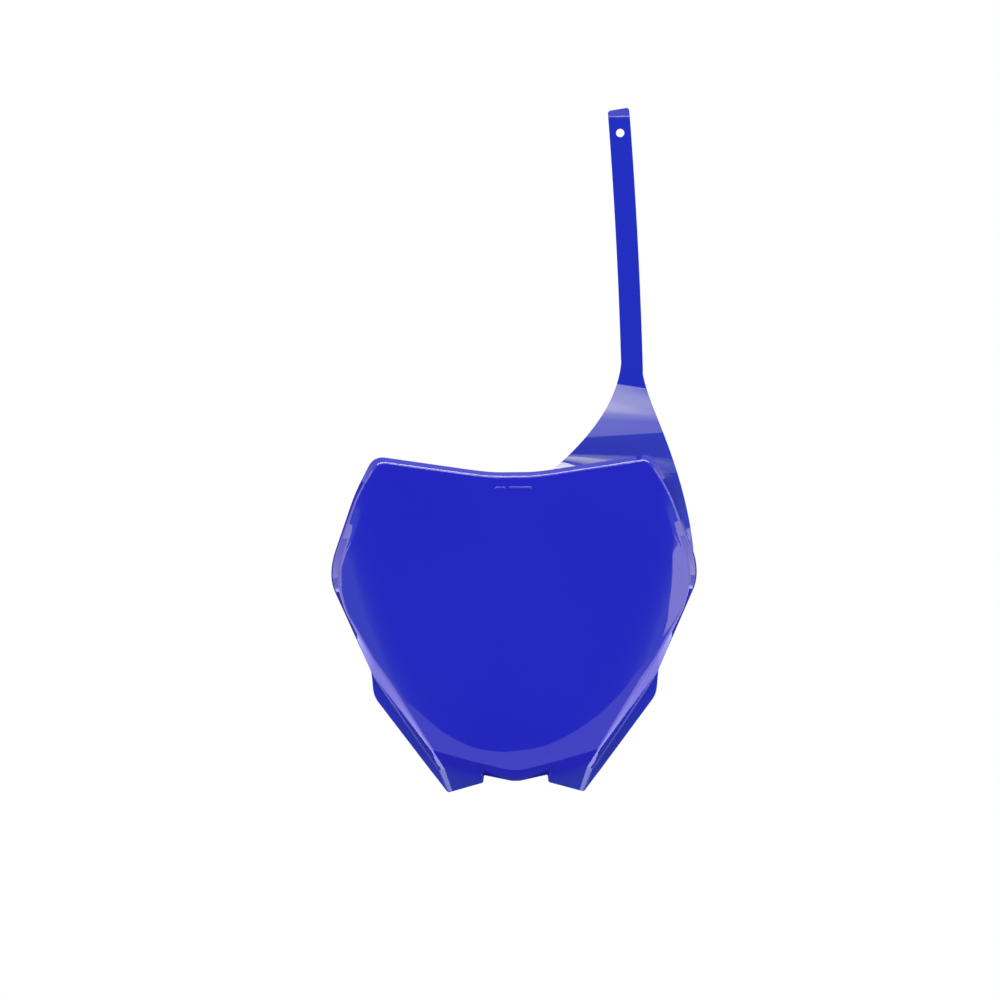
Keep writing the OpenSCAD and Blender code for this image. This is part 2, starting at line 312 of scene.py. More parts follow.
def ease_edges(piece: bpy.types.Object, width: float) -> None:
    """Rounds the sharp edges of a piece.

    Args:
        piece: The piece.
        width: Width of the rounding in millimetres.
    """
    bevel = piece.modifiers.new("eased", "BEVEL")
    bevel.width = width * MM
    bevel.segments = BEVEL_STEPS
    bevel.limit_method = "ANGLE"
    bevel.angle_limit = math.radians(SHARP_DEGREES)
    bevel.use_clamp_overlap = True
    keep_modifiers(piece)


def weigh_normals(piece: bpy.types.Object) -> None:
    """Lets the large faces lead the shading beside narrow roundings.

    Args:
        piece: The piece.
    """
    weighted = piece.modifiers.new("weighted", "WEIGHTED_NORMAL")
    weighted.mode = "FACE_AREA"
    weighted.weight = NORMAL_WEIGHT
    keep_modifiers(piece)


def finished(piece: bpy.types.Object, finish: bpy.types.Material) -> bpy.types.Object:
    """Weighs a piece's normals and gives it its finish.

    Args:
        piece: The piece.
        finish: Its material.

    Returns:
        The same piece.
    """
    weigh_normals(piece)
    piece.data.materials.append(finish)
    return piece


# Shader nodes


class Wire:
    """An output socket that takes part in sums and products."""

    def __init__(self, nodes: "Nodes", socket: bpy.types.NodeSocket) -> None:
        """Wraps a socket of a node tree."""
        self.nodes = nodes
        self.socket = socket

    def _math(self, operation: str, *values: "Wire | float") -> "Wire":
        """Adds a Math node.

        Args:
            operation: Blender's name of the operation.
            values: What goes into its sockets.

        Returns:
            The node's result.
        """
        return self.nodes.add("Math", {"operation": operation}, dict(enumerate(values)))[0]

    def __add__(self, other: "Wire | float") -> "Wire":
        """Returns the sum."""
        return self._math("ADD", self, other)

    def __radd__(self, other: float) -> "Wire":
        """Returns the sum with a number on the left."""
        return self._math("ADD", other, self)

    def __sub__(self, other: "Wire | float") -> "Wire":
        """Returns the difference."""
        return self._math("SUBTRACT", self, other)

    def __rsub__(self, other: float) -> "Wire":
        """Returns a number less this value."""
        return self._math("SUBTRACT", other, self)

    def __mul__(self, other: "Wire | float") -> "Wire":
        """Returns the product."""
        return self._math("MULTIPLY", self, other)

    def __rmul__(self, other: float) -> "Wire":
        """Returns the product with a number on the left."""
        return self._math("MULTIPLY", other, self)

    def clamped(self) -> "Wire":
        """Returns the value held between 0 and 1."""
        return self._math("MINIMUM", self._math("MAXIMUM", self, 0.0), 1.0)


class Nodes:
    """Adds nodes to one tree."""

    def __init__(self, tree: bpy.types.NodeTree) -> None:
        """Empties the tree and keeps it."""
        self.tree = tree
        tree.nodes.clear()

    def add(
        self,
        kind: str,
        settings: dict[str, object] | None = None,
        inputs: dict[str | int, object] | None = None,
    ) -> list[Wire]:
        """Adds one node.

        Args:
            kind: Blender's type of the node, without ShaderNode.
            settings: The node's own settings.
            inputs: Values or wires for its sockets, by name or place.

        Returns:
            The node's outputs.
        """
        node = self.tree.nodes.new(f"ShaderNode{kind}")
        for name, value in (settings or {}).items():
            setattr(node, name, value)
        for name, value in (inputs or {}).items():
            if isinstance(value, Wire):
                self.tree.links.new(value.socket, node.inputs[name])
            else:
                node.inputs[name].default_value = value
        return [Wire(self, socket) for socket in node.outputs]

    def tinted(self, factor: Wire, a: Wire | Sequence[float], b: Sequence[float]) -> Wire:
        """Mixes two colours.

        Args:
            factor: Share of the second colour.
            a: First colour, linear, or a wire that carries it.
            b: Second colour, linear.

        Returns:
            The mixed colour.
        """
        mixed = self.add(
            "Mix",
            {"data_type": "RGBA"},
            {0: factor, 6: a if isinstance(a, Wire) else (*a, 1.0), 7: (*b, 1.0)},
        )
        return mixed[2]


# Finishes

# Places of the texture coordinates among the outputs of their node
UV_PLACE, OBJECT_PLACE = 2, 3


@dataclass(frozen=True)
class MouldedPlastic:
    """Glossy coloured plastic as it comes out of a polished mould.

    The front is mottled between deep and light. Behind front_until, a place along y in metres, the
    colour passes through the places and colours of behind. These are painted shade and painted sheen: the
    parts that lie further back, such as the leg flanges, the strap's root and the strap, come out darker,
    greyer and greener than the face.
    """

    name: str = "moulded_blue"
    deep: Triple = (0.0125, 0.0145, 0.505)
    light: Triple = (0.0175, 0.0205, 0.55)
    # Depths and colours of painted shade and painted sheen on the parts that lie further back
    behind: tuple[tuple[float, Triple], ...] = (
        (-0.026, (0.023, 0.035, 0.42)), (-0.016, (0.034, 0.046, 0.49)), (-0.002, (0.0135, 0.025, 0.505)),
    )
    front_until: float = -0.0295
    mottle_scale: float = 9.0
    mottle_detail: float = 3.0
    gloss: float = 0.02
    ior: float = 1.5
    haze: float = 0.015
    haze_scale: float = 27.0
    haze_detail: float = 4.0
    grain_scale: float = 1400.0
    grain_detail: float = 2.0
    grain_depth: float = 0.000002
    ripple_scale: float = 30.0
    ripple_detail: float = 1.0
    ripple_depth: float = 0.00003
    noise_roughness: float = 0.5

    def build(self) -> bpy.types.Material:
        """Makes the material.

        Returns:
            The material, with its colour, roughness and relief from noise in the object's space.
        """
        made, nodes = new_material(self.name)
        place = nodes.add("TexCoord")[OBJECT_PLACE]

        def noise(scale: float, detail: float) -> Wire:
            """Returns a noise value in the object's space."""
            return nodes.add(
                "TexNoise",
                {"noise_dimensions": "3D"},
                {"Vector": place, "Scale": scale, "Detail": detail, "Roughness": self.noise_roughness},
            )[0]

        face_colour = nodes.tinted(noise(self.mottle_scale, self.mottle_detail), self.deep, self.light)
        depth = nodes.add("SeparateXYZ", None, {0: place})[1]
        # Parts further back take darker, greyer and greener colours: painted shade and painted sheen
        colour, last = face_colour, self.front_until
        for place_y, painted_shade_and_sheen in self.behind:
            share = ((depth - last) * (1.0 / (place_y - last))).clamped()
            colour, last = nodes.tinted(share, colour, painted_shade_and_sheen), place_y
        roughness = self.gloss + self.haze * noise(self.haze_scale, self.haze_detail)
        ripple = self.ripple_depth * noise(self.ripple_scale, self.ripple_detail)
        height = ripple + self.grain_depth * noise(self.grain_scale, self.grain_detail)
        relief = nodes.add("Bump", None, {"Height": height, "Strength": 1.0, "Distance": 1.0})[0]
        shader = nodes.add(
            "BsdfPrincipled",
            None,
            {"Base Color": colour, "Roughness": roughness, "IOR": self.ior, "Normal": relief},
        )[0]
        nodes.add("OutputMaterial", None, {"Surface": shader})
        return made


@dataclass(frozen=True)
class PaleFloor:
    """A white floor that shows as the background does, apart from a soft shadow."""

    name: str = "pale_floor"
    colour: Triple = (0.82, 0.82, 0.82)
    shadow_share: float = 0.14
    glow: float = 1.075

    def build(self) -> bpy.types.Material:
        """Makes the material.

        Returns:
            The material: white to the camera and in reflections, with a share of plain diffuse.
        """
        made, nodes = new_material(self.name)
        diffuse = nodes.add("BsdfDiffuse", None, {"Color": (*self.colour, 1.0)})[0]
        white = nodes.add("Emission", None, {"Strength": self.glow})[0]
        seen = (1.0 - self.shadow_share) * seen_directly(nodes)
        both = nodes.add("MixShader", None, {0: seen, 1: diffuse, 2: white})[0]
        nodes.add("OutputMaterial", None, {"Surface": both})
        return made


@dataclass(frozen=True)
class CardGlow:
    """The glow of a card.

    feather says how softly the glow fades towards the card's edges: with 0 it has a hard edge, and
    with 1 it is full only in the middle. flank is what the glow gains from the card's middle out to
    a metre on either side.
    """

    name: str
    strength: float
    colour: Triple
    feather: float
    flank: float = 0.0

    def build(self) -> bpy.types.Material:
        """Makes the material.

        Returns:
            The material, which is clear where the glow has faded.
        """
        made, nodes = new_material(self.name)
        across = nodes.add("SeparateXYZ", None, {0: nodes.add("TexCoord")[OBJECT_PLACE]})[0]
        spread = across * across
        brightest = self.strength + self.flank
        dimmed = tuple(c * self.strength / brightest for c in self.colour)
        colour = nodes.tinted((spread * spread).clamped(), dimmed, self.colour)
        glow = nodes.add("Emission", None, {"Color": colour, "Strength": brightest})[0]
        clear = nodes.add("BsdfTransparent")[0]
        uv = nodes.add("TexCoord")[UV_PLACE]
        u, v, _ = nodes.add("SeparateXYZ", None, {0: uv})

        def inside(w: Wire) -> Wire:
            """Returns 1 well inside the card along w, falling to 0 at its edge."""
            return (w * (1.0 - w) * 4.0 * (1.0 / self.feather)).clamped()

        share = inside(u) * inside(v) if self.feather > 0 else 1.0
        shown = nodes.add("MixShader", None, {0: share, 1: clear, 2: glow})[0]
        nodes.add("OutputMaterial", None, {"Surface": shown})
        return made


def new_material(name: str) -> tuple[bpy.types.Material, Nodes]:
    """Makes a material that has no nodes yet.

    Args:
        name: Name of the material.

    Returns:
        The material, and the helper that adds its nodes.
    """
    made = bpy.data.materials.new(name)
    made.use_nodes = True
    return made, Nodes(made.node_tree)


def seen_directly(nodes: Nodes) -> Wire:
    """Tells the rays that see a surface from those that only gather its light.

    Args:
        nodes: The tree that uses the answer.

    Returns:
        1 for rays of the camera, of reflections and of transmission, and 0 for all others.
    """
    path = nodes.add("LightPath")
    camera, glossy, transmission = path[0], path[3], path[6]
    return (camera + glossy + transmission).clamped()


# The board


@dataclass(frozen=True)
class Face:
    """The curled face, flat in the middle."""

    half_w: float = 120.0
    cheek_curl: float = 7.0
    cheek_power: float = 6.0
    chin_curl: float = 14.0
    chin_power: float = 3.0
    chin_start: float = 120.0
    chin_arch: float = 0.0075

    def depth(self, x: float, z: float) -> float:
        """Finds how far the face lies back at a place on the board.

        Args:
            x: How far across the place lies.
            z: Its height.

        Returns:
            The depth behind the front of the face.
        """
        cheek = self.cheek_curl * (abs(x) / self.half_w) ** self.cheek_power
        low = max(0.0, self.chin_start - z + self.chin_arch * x * x) / self.chin_start
        return cheek + self.chin_curl * low**self.chin_power

    def on(self, x: float, z: float, behind: float) -> np.ndarray:
        """Returns the point of the skin that lies behind the face by that much."""
        return np.array([x, self.depth(x, z) + behind, z])


@dataclass
class BoardShell:
    """Face, lip, cheeks, leg flanges, feet and chin rim in one skin of even thickness."""

    origin: Triple
    finish: bpy.types.Material
    face: Face = field(default_factory=Face)
    wall: float = 2.2
    top_z: float = 212.0
    half_corner: float = 92.0
    corner_rise: float = 11.5
    cheek_z: float = 145.0
    lip_deep: float = 5.5
    lip_splay_top: float = 3.3
    lip_splay_side: float = 2.2
    cheek_band: float = 8.0
    half_leg: float = 95.0
    leg_z: float = 81.5
    leg_corner_z: float = 64.5
    side_deep_top: float = 5.0
    side_deep_leg: float = 5.5
    side_deep_foot: float = 7.5
    chin_z: float = 7.6
    chin_rim: float = 6.2
    chin_rim_deep: float = 8.0
    half_tip: float = 45.0
    half_gap: float = 21.5
    foot_rise: float = 6.8
    middle_z: float = 130.0
    face_margin: float = 9.0
    cheek_out: float = 3.6
    cheek_ease: float = 18.0
    cheek_back: float = 3.0
    side_drop: float = 24.0
    side_bulge: float = 2.6
    bulge_share: float = 0.32
    bulge_way: Pair = (0.93, 0.37)
    leg_taper: float = 1.6
    foot_in: float = 9.5
    foot_up: float = 20.4
    top_bow: float = 16.0
    chin_bow: float = 2.5
    flange_stop: float = 0.22
    flange_w: float = 4.2
    flange_up: float = 2.0
    plate_deep: float = 3.5
    plate_inner_deep: float = 4.5
    sole_deep: float = 5.3
    rim_round: float = 0.5
    straights: tuple[int, ...] = (2, 10, 4, 10, 6, 8, 6, 16, 3, 3, 8, 3, 5, 3)
    bends: tuple[int, ...] = (0, 12, 14, 10, 26, 8, 6, 12, 3, 4, 5, 5, 4, 9)
    rings: tuple[float, ...] = (
        0.07, 0.14, 0.21, 0.28, 0.35, 0.42, 0.49, 0.56, 0.63, 0.7, 0.77, 0.83, 0.89, 0.94,
    )
    fold_steps: int = 7
    rim_steps: int = 4

    def ridge(self) -> list[Corner]:
        """Lists the corners of the line where the face ends, a ridge from the cheeks down.

        Returns:
            The corners, from the top's middle to the chin's.
        """
        leg, gap = self.half_leg, self.half_gap
        crease_z = self.chin_z + self.chin_rim
        foot_x, foot_z = self.half_tip + self.foot_in, self.chin_z + self.foot_up
        top = self.top_z - self.face_margin - self.lip_splay_top
        bulge_x, bulge_z = self.shoulder()
        side_x, side_z = self.side_top()
        return [
            Corner(0, top, 0, 0, 1, 3),
            Corner(self.top_bow, top, 0, 0, 1, 3, self.top_bow),
            Corner(
                self.half_corner - self.face_margin,
                self.top_z + self.corner_rise - 1.8 * self.face_margin,
                0, 0, 1, 3, 8,
            ),
            Corner(bulge_x - self.face_margin, bulge_z - 3, 0, 0, 1, 3, 10),
            Corner(self.face.half_w - 2, self.cheek_z + 2, 0, 0.4, 1, 1.5, self.cheek_ease),
            Corner(side_x - 0.5, side_z, 0, 0.5, 1, 1.5, 6),
            Corner(leg - 3, self.leg_z + 5.5, 0, 0.5, 1, 3, 6),
            Corner(leg - 12.5, self.leg_corner_z + 9.5, 0, 0.5, 1, 3.2, 3),
            Corner(foot_x + 0.8, foot_z + 1.2, 0, 0.5, 1, 2.6, 0.2),
            Corner(foot_x + 0.4, foot_z + 0.6, 0, 0.5, 1, 1.8, 0.2),
            Corner(foot_x, foot_z, 0, 0.5, 1, 1.2, 0.2),
            Corner(gap + 5, crease_z + 6, 0, 0.5, 1, 1.5, 2),
            Corner(gap + 2.5, crease_z + 5.3, 0, 0.5, 1, 1.5, 0.5),
            Corner(self.chin_bow + 2, crease_z, 0, 0.5, 1, 2, self.chin_bow),
            Corner(0, crease_z, 0, 0.5, 1, 2),
        ]

    def rim(self) -> list[Corner]:
        """Lists the corners of the line next to the outermost one.

        Returns:
            The corners of the lip's front edge, the flange's root, the foot's top and the chin's rim.
        """
        leg, gap = self.half_leg, self.half_gap
        splay_x, splay_z = self.lip_splay_side, self.lip_splay_top
        bulge_x, bulge_z = self.shoulder()
        end_x, end_z = self.root_end()
        inner_x, inner_z = gap + 1, self.chin_z + 4.6
        side_x, side_z = self.side_top()
        return [
            Corner(0, self.top_z - splay_z, 0, 0.6, 1, 1.6),
            Corner(self.top_bow, self.top_z - splay_z, 0, 0.6, 1, 1.6, self.top_bow),
            Corner(
                self.half_corner - 1.3 * splay_x,
                self.top_z + self.corner_rise - 1.3 * splay_z,
                0, 0.6, 1, 1.6, 7,
            ),
            Corner(bulge_x - splay_x, bulge_z - 0.5, 0, 0.6, 1, 1.6, 10),
            Corner(
                self.face.half_w + self.cheek_out - 0.5, self.cheek_z + 0.5,
                self.side_deep_top, 0.9, 0.5, 1.5, self.cheek_ease,
            ),
            Corner(side_x, side_z, mix(self.side_deep_top, self.side_deep_leg, 0.33), 0.8, 0.8, 1.2, 6),
            Corner(leg - 0.5, self.leg_z - 2, self.side_deep_leg - 0.7, 0.8, 0.9, 1, 2),
            Corner(leg - 7, self.leg_corner_z + 4.5, self.side_deep_leg, 0.7, 1, 1, 4),
            Corner(end_x, end_z, self.side_deep_foot, 0.7, 1, 1, 0.2),
            Corner(end_x - 0.5, end_z - 0.5, self.side_deep_foot, 0.7, 1, 1, 0.2),
            Corner(self.half_tip + 2, self.chin_z + 8.9, self.plate_deep, 0.5, 1, 0.8, 0.2),
            Corner(inner_x, inner_z, self.plate_inner_deep, 0.5, 1, 0.8, 0.8),
            Corner(inner_x - 2, inner_z - 0.2, self.chin_rim_deep, 0.7, 0.8, 0.8, 0.5),
            Corner(self.chin_bow, self.chin_z + 0.6, self.chin_rim_deep, 0.8, 0.7, 0.8, self.chin_bow),
            Corner(0, self.chin_z + 0.6, self.chin_rim_deep, 0.8, 0.7, 0.8),
        ]

    def outer(self) -> list[Corner]:
        """Lists the corners of the outermost line.

        Returns:
            The corners of the lip's rear edge, the flange's edge, the soles and the chin's rear edge.
        """
        leg, gap = self.half_leg, self.half_gap
        bulge_x, bulge_z = self.shoulder()
        end_x, end_z = self.flange_end()
        side_x, side_z = self.side_top()
        return [
            Corner(0, self.top_z, self.lip_deep, 1, 0),
            Corner(self.top_bow, self.top_z, self.lip_deep, 1, 0, 0, self.top_bow),
            Corner(self.half_corner, self.top_z + self.corner_rise, self.lip_deep, 1, 0, 0, 8),
            Corner(bulge_x, bulge_z, self.lip_deep + 1, 1, 0, 0, 10),
            Corner(
                self.face.half_w + self.cheek_out, self.cheek_z,
                self.side_deep_top + self.cheek_back, 1, 0, 0, self.cheek_ease,
            ),
            Corner(
                side_x + 0.6, side_z + 0.4,
                mix(self.side_deep_top + self.cheek_back, self.side_deep_leg, 0.37), 0.8, 0.4, 0, 6,
            ),
            Corner(leg + 0.2, self.leg_z, self.side_deep_leg - 0.3, 0.7, 0.6, 0, 1),
            Corner(leg - self.leg_taper, self.leg_corner_z, self.side_deep_leg - 4.3, 0, 1, 0, 5),
            Corner(end_x, end_z, self.side_deep_foot - 1.9, 0, 1, 0, 0.3),
            Corner(self.half_tip, 0, self.side_deep_foot - 1.5, 0.8, 0.6, 0, 1.5),
            Corner(self.half_tip - 3.2, 1, self.sole_deep, 0.3, 1, 0, 0.4),
            Corner(gap, self.foot_rise, self.plate_inner_deep + 1.6, 0, 1, 0, 1.2),
            Corner(gap - 0.7, self.chin_z + 4.1, self.plate_inner_deep, 0.5, 0.8, 0, 0.5),
            Corner(self.chin_bow, self.chin_z, self.chin_rim_deep + 1, 0.8, 0.6, 0, self.chin_bow),
            Corner(0, self.chin_z, self.chin_rim_deep + 1, 0.8, 0.6),
        ]

    def shoulder(self) -> Pair:
        """Finds where the side line between a top corner and a cheek bulges outwards.

        Returns:
            How far across the place lies, and its height.
        """
        top = np.array([self.half_corner, self.top_z + self.corner_rise])
        cheek = np.array([self.face.half_w + self.cheek_out, self.cheek_z])
        place = mix(top, cheek, self.bulge_share) + self.side_bulge * np.array(self.bulge_way)
        return float(place[0]), float(place[1])

    def side_top(self) -> Pair:
        """Returns where the side wall starts, level with the board's outline."""
        return self.face.half_w - self.cheek_band + 0.5, self.cheek_z - self.side_drop

    def flange_end(self) -> Pair:
        """Returns where a leg flange stops, on its straight line to the foot tip."""
        run = self.half_leg - self.leg_taper - self.half_tip
        return self.half_tip + self.flange_stop * run, self.flange_stop * self.leg_corner_z

    def root_end(self) -> Pair:
        """Returns where the root of a leg flange stops."""
        x, z = self.flange_end()
        return x - self.flange_w, z + self.flange_up

    def _inward(self, line: np.ndarray, i: int) -> np.ndarray:
        """Finds a line's direction inwards, in the plane of the board.

        Args:
            line: The edge line.
            i: The station.

        Returns:
            The direction across and up, with a length of 1.
        """
        last = len(line) - 1
        if i == 0:
            run = np.array([1.0, 0.0])
        elif i == last:
            run = np.array([-1.0, 0.0])
        else:
            run = line[i + 1][[X, Z]] - line[i - 1][[X, Z]]
        return np.array([run[1], -run[0]]) / np.linalg.norm(run)

    def _skin_point(self, line: np.ndarray, i: int, behind: float) -> np.ndarray:
        """Finds a station of a line on the skin that lies that much behind the front one.

        Args:
            line: The edge line.
            i: The station.
            behind: Distance behind the front skin.

        Returns:
            The point on that skin.
        """
        p, way = line[i], self._inward(line, i)
        x = p[X] + way[0] * p[INWARDS] * behind
        z = p[Z] + way[1] * p[INWARDS] * behind
        return self.face.on(x, z, p[DROP] + p[BACKWARDS] * behind)

    def _spoke(self, lines: Sequence[np.ndarray], i: int) -> list[np.ndarray]:
        """Goes from the middle of the front skin out over the edge to the middle of the back.

        Args:
            lines: The ridge, rim and outer lines.
            i: The station.

        Returns:
            The points of that spoke.
        """
        ridge, rim, _ = lines
        sides = []
        for behind in (0.0, self.wall):
            a, b, c = (self._skin_point(line, i, behind) for line in lines)
            flat = [
                self.face.on(a[0] * s, self.middle_z + (a[2] - self.middle_z) * s, behind)
                for s in self.rings
            ]
            first = rounded(flat[-1], a, b, ridge[i][FOLD], self.fold_steps)
            second = rounded(a, b, c, rim[i][FOLD], self.fold_steps)
            sides.append(([*flat, *first, *second], c))
        (front, front_edge), (back, back_edge) = sides
        over = rounded(front[-1], front_edge, back_edge, self.rim_round, self.rim_steps)
        under = rounded(front_edge, back_edge, back[-1], self.rim_round, self.rim_steps)
        return [*front, *over, *under, *reversed(back)]

    def build(self) -> bpy.types.Object:
        """Makes the shell.

        Returns:
            The piece, closed and smooth.
        """
        lines = [edge_line(c, self.straights, self.bends) for c in (self.ridge(), self.rim(), self.outer())]
        half = [self._spoke(lines, i) for i in range(len(lines[0]))]
        flip = np.array([-1.0, 1.0, 1.0])
        around = half + [[p * flip for p in spoke] for spoke in reversed(half[1:-1])]
        maker = MeshMaker(self.origin)
        rows = [maker.row(spoke) for spoke in around]
        for k, row in enumerate(rows):
            maker.band(row, rows[(k + 1) % len(rows)])
        front_hub, back_hub = maker.row(
            [self.face.on(0, self.middle_z, 0), self.face.on(0, self.middle_z, self.wall)]
        )
        maker.fan(front_hub, [row[0] for row in rows])
        maker.fan(back_hub, [row[-1] for row in rows])
        return finished(maker.make("board_shell"), self.finish)


@dataclass
class ReliefMarks:
    """Two bars in low relief under the middle of the top edge."""

    origin: Triple
    finish: bpy.types.Material
    spans: tuple[Pair, ...] = ((-12.2, -4.8), (-2.8, 12.2))
    middle_z: float = 201.3
    high: float = 1.8
    proud: float = 0.4
    sunk: float = 1.1
    end_run: float = 0.5
    end_size: float = 0.2
    steps: int = 8

    def build(self) -> bpy.types.Object:
        """Makes both bars as one piece.

        Returns:
            The piece.
        """
        maker = MeshMaker(self.origin)
        angles = [math.pi * (k / self.steps - 0.5) for k in range(self.steps + 1)]
        for low, high in self.spans:
            rings = []
            run, end = self.end_run, self.end_size
            for x, size in ((low, end), (low + run, 1.0), (high - run, 1.0), (high, end)):
                reach = self.high / 2 * size
                dome = [(-self.proud * size * math.cos(a), reach * math.sin(a)) for a in angles]
                section = [*dome, (self.sunk, reach), (self.sunk, -reach)]
                rings.append(maker.row([np.array([x, y, self.middle_z + z]) for y, z in section]))
            for a, b in zip(rings, rings[1:]):
                maker.band(a, b, closed=True)
            maker.faces += [tuple(reversed(rings[0])), tuple(rings[-1])]
        return finished(maker.make("relief_marks"), self.finish)


@dataclass
class Strap:
    """The strap with its hole and end tab, and the root that carries it.

    Values that end in _up are heights above the middle of the board's top edge, at the left and
    the right. foot_start, foot_end and root_sweep are offsets across and up.
    """

    origin: Triple
    finish: bpy.types.Material
    face: Face = field(default_factory=Face)
    wall: float = 2.2
    top_z: float = 212.0
    cheek_z: float = 145.0
    foot_band: float = 4.0
    foot_sweep: float = 6.0
    width: float = 14.4
    thick: float = 1.8
    fold_z: float = 447.0
    tab_h: float = 5.0
    tab_slant: float = 0.8
    tab_round: float = 2.6
    depth: float = 44.0
    middle_x: float = 72.2
    lean: float = 7.2
    bow: float = 1.0
    hole_d: float = 5.5
    hole_below: float = 11.0
    neck_up: float = 68.0
    neck_slant: float = 3.8
    foot_start: Pair = (10.5, -11.0)
    foot_end: Pair = (-1.2, 10.5)
    root_sweep: Pair = (-4.0, 31.0)
    crease_up: Pair = (58.0, 54.6)
    belly_up: Pair = (40.0, 40.6)
    slope_up: Pair = (21.5, 24.5)
    shelf_up: Pair = (8.0, 6.0)
    right_power: float = 1.5
    right_swell: float = 0.9
    right_swell_power: int = 5
    right_tab_share: float = 0.5
    foot_power: float = 1.4
    stud_share: float = 0.35
    cutter_span: Pair = (-2.0, 4.0)
    cutter_sides: int = 64
    belly_y: Pair = (34.0, 36.2)
    slope_y: Pair = (27.6, 31.2)
    shelf_y: Pair = (25.7, 29.3)
    edge_round: float = 0.7
    across: int = 28
    easing: tuple[Pair, ...] = (
        (0, 0), (0, 0), (0.25, 0.008), (0, 0), (0.1, 0.06), (0.85, 0.85), (0.05, 0.15), (0.4, 0.25), (0, 0),
    )
    steps: tuple[int, ...] = (6, 3, 40, 6, 4, 4, 8, 24)
    bend_steps: tuple[int, ...] = (0, 0, 6, 0, 8, 24, 6, 14)

    def __post_init__(self) -> None:
        """Works out the neck and the two ends of the root's foot."""
        self.neck_z = self.top_z + self.neck_up
        middle = self.middle_x + self.lean
        self.neck_left = np.array([middle - self.width / 2, self.neck_z + self.neck_slant])
        self.neck_right = np.array([middle + self.width / 2, self.neck_z - self.neck_slant])
        self.foot_left = np.array([self.foot_start[0], self.top_z + self.foot_start[1]])
        self.foot_right = np.array([self.face.half_w + self.foot_end[0], self.cheek_z + self.foot_end[1]])
        self.root_bend = np.array([self.neck_left[0] + self.root_sweep[0], self.top_z + self.root_sweep[1]])
        self.tab_top = self.fold_z + self.tab_h

    def mid_x(self, z: float) -> float:
        """Returns how far across the strap's middle lies at height z."""
        s = (self.fold_z - z) / (self.fold_z - self.neck_z)
        return self.middle_x + self.lean * s + self.bow * 4 * s * (1 - s)

    def _tab_inset(self, z: float, top: float) -> float:
        """Returns how far the tab's rounded corner lies inside its straight side."""
        into = max(0.0, z - top + self.tab_round)
        return self.tab_round - math.sqrt(max(0.0, self.tab_round**2 - into**2))

    def _left_x(self, z: float) -> float:
        """Finds the left edge of the strap and its root.

        Args:
            z: Height.

        Returns:
            How far across the edge lies there.
        """
        if z > self.neck_left[1]:
            return self.mid_x(z) - self.width / 2 + self._tab_inset(z, self.tab_top - self.tab_slant)
        p, c, q = self.neck_left, self.root_bend, self.foot_left
        k2 = p[1] - 2 * c[1] + q[1]
        k1 = 2 * (c[1] - p[1])
        t = (-k1 - math.sqrt(max(0.0, k1 * k1 - 4 * k2 * (p[1] - z)))) / (2 * k2)
        return float(mix(mix(p, c, t), mix(c, q, t), t)[0])

    def _right_x(self, z: float) -> float:
        """Finds the right edge of the strap and its root.

        Args:
            z: Height.

        Returns:
            How far across the edge lies there.
        """
        if z > self.neck_right[1]:
            inset = self._tab_inset(z, self.tab_top + self.tab_slant)
            return self.mid_x(z) + self.width / 2 - self.right_tab_share * inset
        rise = max(0.0, z - self.foot_right[1]) / (self.neck_right[1] - self.foot_right[1])
        share = rise**self.right_power + self.right_swell * rise**self.right_swell_power * (1 - rise)
        return self.foot_right[0] + (self.neck_right[0] - self.foot_right[0]) * share

    def _foot_y(self, x: float, z: float) -> float:
        """Returns how far back the root's foot lies, inside the wall of face and cheek."""
        near = max(0.0, x - self.face.half_w + self.foot_band) / self.foot_band
        return self.face.depth(x, z) + self.wall / 2 + self.foot_sweep * near**self.foot_power

    def _corners(self) -> list[np.ndarray]:
        """Lists the rows where the sheet changes its slope, from its tip down.

        Returns:
            For each row: height at the left edge and at the right edge, depth behind the face at
            both, and how much of that depth has given way to the depth of its foot.
        """
        back = self.depth + self.tab_h
        bent = back - self.tab_round

        def above(heights: Pair) -> Pair:
            """Returns a pair of heights above the middle of the board's top edge."""
            return self.top_z + heights[0], self.top_z + heights[1]

        return [
            np.array(row, float)
            for row in (
                (self.tab_top - self.tab_slant, self.tab_top + self.tab_slant, back, back, 0),
                (self.tab_top - self.tab_round, self.tab_top - self.tab_round, bent, bent, 0),
                (self.fold_z, self.fold_z, self.depth, self.depth, 0),
                (self.neck_left[1], self.neck_right[1], self.depth, self.depth, 0),
                (*above(self.crease_up), self.depth, self.depth, 0),
                (*above(self.belly_up), *self.belly_y, 0),
                (*above(self.slope_up), *self.slope_y, 0),
                (*above(self.shelf_up), *self.shelf_y, 0),
                (self.foot_left[1], self.foot_right[1], *self.shelf_y, 1),
            )
        ]

    def _rows(self) -> list[np.ndarray]:
        """Lists all the rows across the strap.

        Returns:
            The rows from the tip down, with each change of slope eased.
        """
        corners = self._corners()

        def toward(i: int, step: int) -> np.ndarray:
            """Finds where the easing of a row ends on the way to its neighbour.

            Args:
                i: Number of the row.
                step: 1 for the neighbour after it and -1 for the one before it.

            Returns:
                The row there, which at the two ends is the row itself.
            """
            if i in (0, len(corners) - 1):
                return corners[i]
            return mix(corners[i], corners[i + step], self.easing[i][step > 0])

        return eased_path(corners, toward, self.steps, self.bend_steps)

    def _point(self, row: np.ndarray, u: float, behind: float) -> np.ndarray:
        """Finds a point of the sheet.

        Args:
            row: The row across the strap.
            u: Share of the way from the left edge to the right one.
            behind: Distance behind the front skin.

        Returns:
            The point.
        """
        left, right = self._left_x(row[0]), self._right_x(row[1])
        x, z = left + (right - left) * u, row[0] + (row[1] - row[0]) * u
        y = row[2] + (row[3] - row[2]) * u
        y = y + (self._foot_y(x, z) - y) * row[4]
        return np.array([x, y + behind, z])

